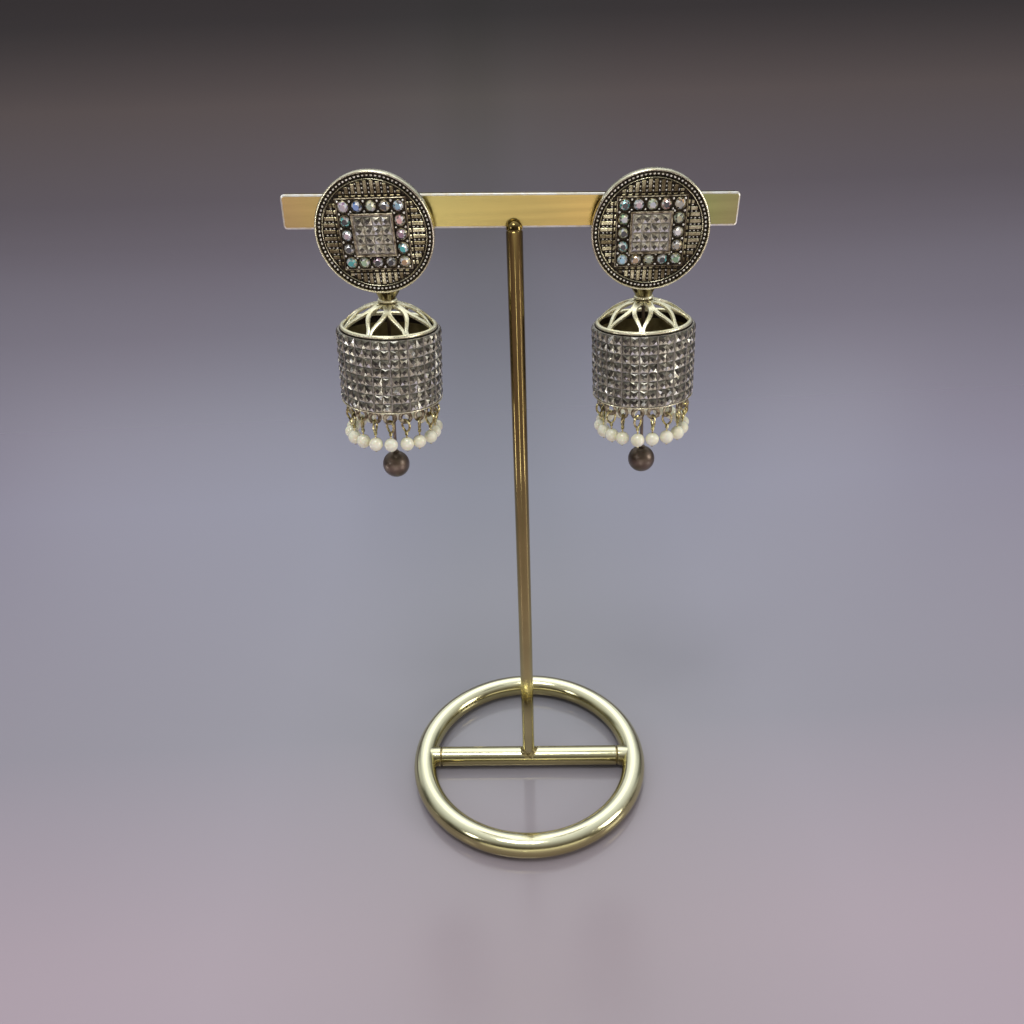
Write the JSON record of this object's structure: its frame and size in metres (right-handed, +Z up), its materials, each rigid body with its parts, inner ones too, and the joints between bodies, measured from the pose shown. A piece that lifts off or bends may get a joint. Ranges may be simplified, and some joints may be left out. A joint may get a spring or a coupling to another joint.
{
  "type": "pair of bell drop earrings on a t-bar display stand",
  "caption": "Pair of round stud earrings with hanging pierced bells, crystal bands and pearl fringes, shown on a plain gold-coloured metal T-bar stand.",
  "frame": {"origin": "on the floor at the middle of the stand's ring", "axes": "+Z up the post, +X along the bar to the viewer's right, -Y towards the viewer and the faces of the studs"},
  "size_m": [0.0962, 0.0702, 0.1697],
  "materials": {
    "stand_gold": "polished",
    "antique_gold": "antiqued, dark in its recesses",
    "pale_gold": "bright",
    "crystal": "cut, clear with a smoky foil",
    "rainbow_stone": "cut, iridescent coating",
    "pearl": "pearlescent",
    "dark_metal": "polished, blackened"
  },
  "bodies": {
    "stand": {"stand_base": "stand_gold", "stand_upright": "stand_gold", "left_stud": "antique_gold", "left_border_stones": "rainbow_stone", "left_panel_stones": "crystal", "left_ear_nut": "pale_gold", "right_stud": "antique_gold", "right_border_stones": "rainbow_stone", "right_panel_stones": "crystal", "right_ear_nut": "pale_gold"},
    "left_drop": {"left_dome": "pale_gold", "left_crystal_band": "crystal", "left_centre_drop": "dark_metal", "left_pearl_01": "pearl", "left_pearl_02": "pearl", "left_pearl_03": "pearl", "left_pearl_04": "pearl", "left_pearl_05": "pearl", "left_pearl_06": "pearl", "left_pearl_07": "pearl", "left_pearl_08": "pearl", "left_pearl_09": "pearl", "left_pearl_10": "pearl", "left_pearl_11": "pearl", "left_pearl_12": "pearl", "left_pearl_13": "pearl", "left_pearl_14": "pearl", "left_pearl_15": "pearl", "left_pearl_16": "pearl", "left_pearl_17": "pearl", "left_pearl_18": "pearl"},
    "right_drop": {"right_dome": "pale_gold", "right_crystal_band": "crystal", "right_centre_drop": "dark_metal", "right_pearl_01": "pearl", "right_pearl_02": "pearl", "right_pearl_03": "pearl", "right_pearl_04": "pearl", "right_pearl_05": "pearl", "right_pearl_06": "pearl", "right_pearl_07": "pearl", "right_pearl_08": "pearl", "right_pearl_09": "pearl", "right_pearl_10": "pearl", "right_pearl_11": "pearl", "right_pearl_12": "pearl", "right_pearl_13": "pearl", "right_pearl_14": "pearl", "right_pearl_15": "pearl", "right_pearl_16": "pearl", "right_pearl_17": "pearl", "right_pearl_18": "pearl"}
  },
  "joints": [
    {"name": "left_drop_swing", "type": "hinge", "parent": "stand", "child": "left_drop", "pos_m": [-0.0284, 0.00517, 0.14596], "axis": [0.0872, 0.9962, 0], "range_deg": [-22, 28]},
    {"name": "right_drop_swing", "type": "hinge", "parent": "stand", "child": "right_drop", "pos_m": [0.0291, 0.00517, 0.14425], "axis": [0.0872, 0.9962, 0], "range_deg": [-28, 22]}
  ]
}
